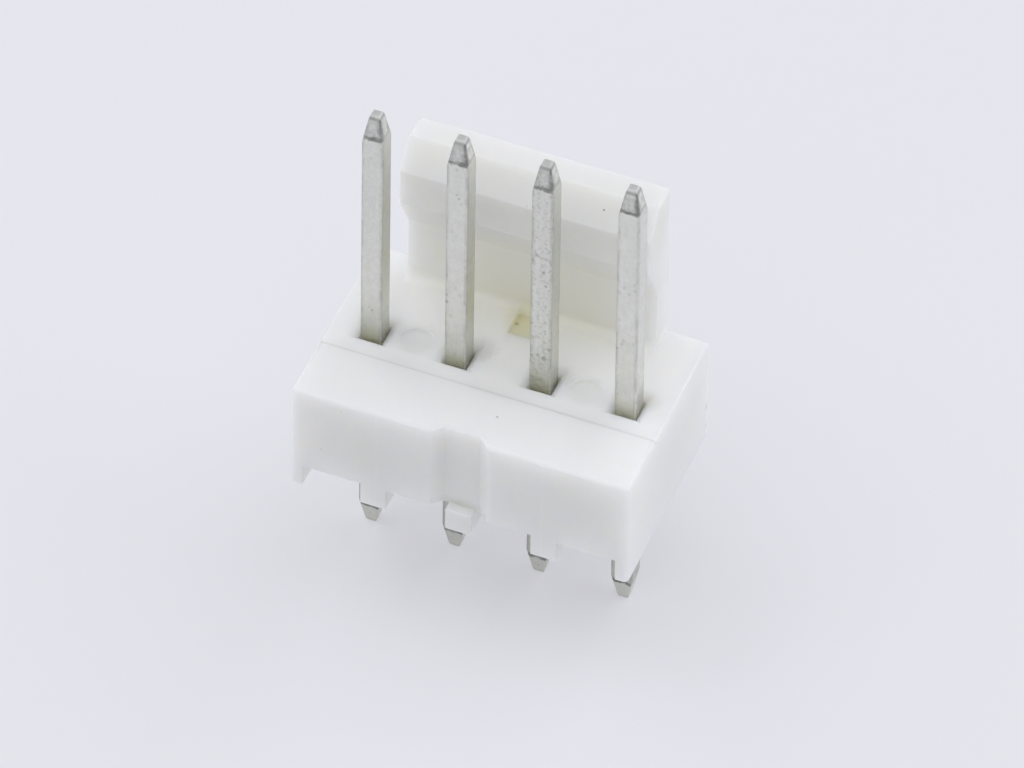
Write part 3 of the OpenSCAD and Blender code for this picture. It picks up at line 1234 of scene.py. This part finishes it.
@dataclass
class Studio:
    """Soft light from all round, large soft boxes, a pale floor and the camera."""

    floor_z: float = -3.56 * MM
    floor_half: float = 1.5
    room_level: float = 0.05
    backdrop: Colour = (0.774, 0.774, 0.838)
    lamps: tuple[SoftBox, ...] = (
        SoftBox("left_box", (-0.85, 0.1, 0.5), 0.434),
        SoftBox("right_box", (0.95, 0.1, 0.2), 0.09),
        SoftBox("back_box", (0.7, 0.6, 0.4), 0.54),
        SoftBox("front_box", (0.0, -0.5, 0.87), 0.425),
        SoftBox("top_box", (0.0, 0.0, 1.0), 0.12),
    )
    azimuth: float = 21.1487
    elevation: float = 42.2574
    roll: float = 0.9776
    distance: float = 292.1551 * MM
    lean: float = 20.8508
    aim: Point = (0.0, 0.0, 3.18 * MM)
    slide: tuple[float, float] = (-0.2971 * MM, 0.4866 * MM)
    lens: float = 369.37
    sensor: float = 36.0
    nearest: float = 0.01
    farthest: float = 10.0

    def light_room(self) -> None:
        """Fill the room with soft light; rays that show the room itself see a pale backdrop."""
        world = bpy.data.worlds.new("studio")
        world.use_nodes = True
        world.node_tree.nodes.clear()
        sheet = Sheet(world.node_tree)
        lit = {"Color": (*COOL_WHITE, 1.0), "Strength": self.room_level}
        lighting = sheet.put("ShaderNodeBackground", lit)
        shown = sheet.put("ShaderNodeBackground", {"Color": (*self.backdrop, 1.0), "Strength": 1.0})
        values = {0: seen_directly(sheet), 1: lighting.outputs[0], 2: shown.outputs[0]}
        either = sheet.put("ShaderNodeMixShader", values)
        out = sheet.put("ShaderNodeOutputWorld")
        sheet.feed(out.inputs[0], either.outputs[0])
        bpy.context.scene.world = world

    def lay_floor(self, finish: bpy.types.Material) -> bpy.types.Object:
        """Lay the floor under the ends of the posts.

        Args:
            finish: The floor's material.

        Returns:
            The floor.
        """
        mesh = bpy.data.meshes.new("floor")
        h = self.floor_half
        corners = [(-h, -h, self.floor_z), (h, -h, self.floor_z), (h, h, self.floor_z), (-h, h, self.floor_z)]
        mesh.from_pydata(corners, [], [(0, 1, 2, 3)])
        mesh.materials.append(finish)
        floor = bpy.data.objects.new("floor", mesh)
        bpy.context.scene.collection.objects.link(floor)
        return floor

    def set_camera(self) -> bpy.types.Object:
        """Stand the camera at the picture's viewing angle.

        The picture is a little taller than the object really is, so the camera's upright axis leans.

        Returns:
            The camera.
        """
        turn = math.radians(self.azimuth)
        rise = math.radians(self.elevation)
        tilt = math.radians(self.roll)
        lean = math.radians(self.lean)
        level = Vector((math.cos(turn), math.sin(turn), 0.0))
        towards = Vector(
            (math.sin(turn) * math.cos(rise), -math.cos(turn) * math.cos(rise), math.sin(rise))
        )
        upright = towards.cross(level)
        across = math.cos(tilt) * level + math.sin(tilt) * upright
        upright = math.cos(tilt) * upright - math.sin(tilt) * level
        spot = Vector(self.aim) - self.slide[0] * across - self.slide[1] * upright + self.distance * towards
        leaning = math.cos(lean) * upright + math.sin(lean) * towards
        lens = bpy.data.cameras.new("camera")
        lens.lens = self.lens
        lens.sensor_width = self.sensor
        lens.sensor_fit = "HORIZONTAL"
        lens.clip_start = self.nearest
        lens.clip_end = self.farthest
        camera = bpy.data.objects.new("camera", lens)
        stand = bpy.data.objects.new("camera_stand", None)
        for thing in (stand, camera):
            bpy.context.scene.collection.objects.link(thing)
        camera.parent = stand
        columns = Matrix((across, leaning, towards)).transposed().to_4x4()
        columns.translation = spot
        camera.matrix_parent_inverse = columns
        bpy.context.scene.camera = camera
        return camera


def main() -> None:
    """Build the studio and the two sub-assemblies."""
    logging.basicConfig(level=logging.INFO, format="%(name)s: %(message)s")
    bpy.context.scene.view_settings.view_transform = "Standard"
    shelf = EffectShelf()
    studio = Studio()
    studio.light_room()
    for lamp in studio.lamps:
        lamp.hang()
    studio.lay_floor(StudioFloor().material(shelf, studio.backdrop))
    studio.set_camera()
    housing = Housing()
    moulding = housing.build()
    housing.dress(moulding, WhiteNylon().material(shelf))
    LOG.info("%s: %d faces", moulding.name, len(moulding.data.polygons))
    row = PostRow()
    tin = TinPlate().material(
        shelf, row.top * PER_MM, row.tail * PER_MM, row.taper * PER_MM, row.side * PER_MM / 2
    )
    posts = row.build(tin)
    row.dress(posts)
    LOG.info("%s: %d faces", posts.name, len(posts.data.polygons))


if __name__ == "__main__":
    main()
